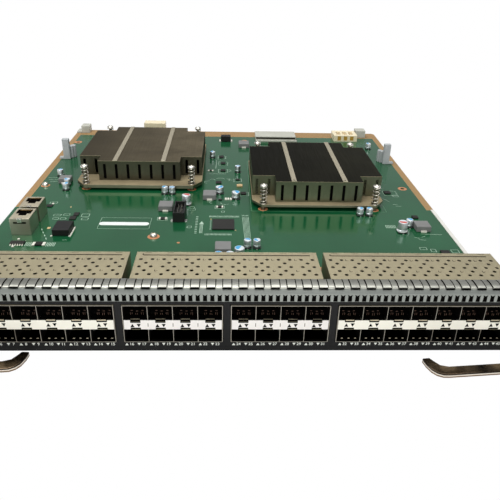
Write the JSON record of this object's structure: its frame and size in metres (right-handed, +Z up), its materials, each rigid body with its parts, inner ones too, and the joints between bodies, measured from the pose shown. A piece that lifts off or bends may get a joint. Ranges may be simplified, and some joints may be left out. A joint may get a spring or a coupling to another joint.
{
  "type": "switch line card",
  "caption": "Wide plug-in network line card: green board with stacked pluggable ports behind a black panel, finned heat sinks and folding ejector levers.",
  "frame": {"origin": "bottom front edge of the panel's lower flange, half way across the card", "axes": "+X across the card to its right seen from the front, +Y from the panel towards the back of the board, +Z up from the board's component side"},
  "size_m": [0.399, 0.464, 0.0407],
  "materials": {
    "panel_black": "satin black paint",
    "tin_strip": "bright tin-plated spring strip",
    "board_green": "semi-gloss green solder mask on laminate",
    "edge_white": "pale insulating strip",
    "plain_steel": "zinc-plated steel",
    "nickel_sheet": "nickel-silver sheet",
    "bar_white": "clear-white light pipe plastic",
    "socket_black": "black connector plastic",
    "sink_base": "nickel-plated base plate",
    "fin_brown": "dark nickel-plated fins",
    "fin_dark": "dark nickel-plated fins",
    "strap_metal": "plain sheet",
    "bright_steel": "bright plated steel",
    "chip_black": "moulded chip body",
    "pad_grey": "soft thermal pad",
    "jack_metal": "tin-plated shell",
    "coil_grey": "pressed iron powder",
    "can_silver": "bare aluminium can",
    "foot_black": "black moulded foot",
    "module_black": "black moulding",
    "connector_grey": "grey moulding",
    "connector_cream": "cream moulding",
    "post_grey": "grey moulding",
    "lever_chrome": "polished nickel plate"
  },
  "bodies": {
    "card": {"front_panel": "panel_black", "top_gasket": "tin_strip", "circuit_board": "board_green", "board_edge_strip": "edge_white", "board_spacers": "plain_steel", "board_screws": "plain_steel", "cage_left_cover": "nickel_sheet", "cage_middle_cover": "nickel_sheet", "cage_right_cover": "nickel_sheet", "cage_left_walls": "nickel_sheet", "cage_middle_walls": "nickel_sheet", "cage_right_walls": "nickel_sheet", "cage_left_rear": "nickel_sheet", "cage_middle_rear": "nickel_sheet", "cage_right_rear": "nickel_sheet", "cage_left_floor": "nickel_sheet", "cage_middle_floor": "nickel_sheet", "cage_right_floor": "nickel_sheet", "port_separators": "nickel_sheet", "light_bars": "bar_white", "port_sockets": "socket_black", "sink_left_base": "sink_base", "sink_right_base": "sink_base", "sink_left_fins": "fin_brown", "sink_right_fins": "fin_dark", "sink_left_straps": "strap_metal", "sink_right_straps": "strap_metal", "sink_left_screws": "bright_steel", "sink_right_screws": "bright_steel", "sink_left_springs": "bright_steel", "sink_right_springs": "bright_steel", "switch_chip_left": "chip_black", "switch_chip_right": "chip_black", "thermal_pad_left": "pad_grey", "thermal_pad_right": "pad_grey", "stiffener_left": "plain_steel", "stiffener_right": "plain_steel", "jack_shells": "jack_metal", "jack_inserts": "socket_black", "power_inductors": "coil_grey", "capacitor_cans": "can_silver", "capacitor_feet": "foot_black", "small_chips": "chip_black", "power_modules": "module_black", "header_socket": "socket_black", "backplane_connector": "connector_grey", "power_connector": "connector_cream", "rear_header": "connector_cream", "guide_blocks": "connector_grey", "edge_post_left": "post_grey", "edge_post_right": "post_grey", "pivot_pins": "bright_steel", "lever_brackets": "panel_black"},
    "left_lever": {"lever_left": "lever_chrome"},
    "right_lever": {"lever_right": "lever_chrome"}
  },
  "joints": [
    {"name": "left_lever_pivot", "type": "hinge", "parent": "card", "child": "left_lever", "pos_m": [-0.19, -0.008, 0.002], "axis": [0, 0, 1], "range_deg": [-66, 0]},
    {"name": "right_lever_pivot", "type": "hinge", "parent": "card", "child": "right_lever", "pos_m": [0.19, -0.008, 0.002], "axis": [0, 0, 1], "range_deg": [-5, 61]}
  ]
}
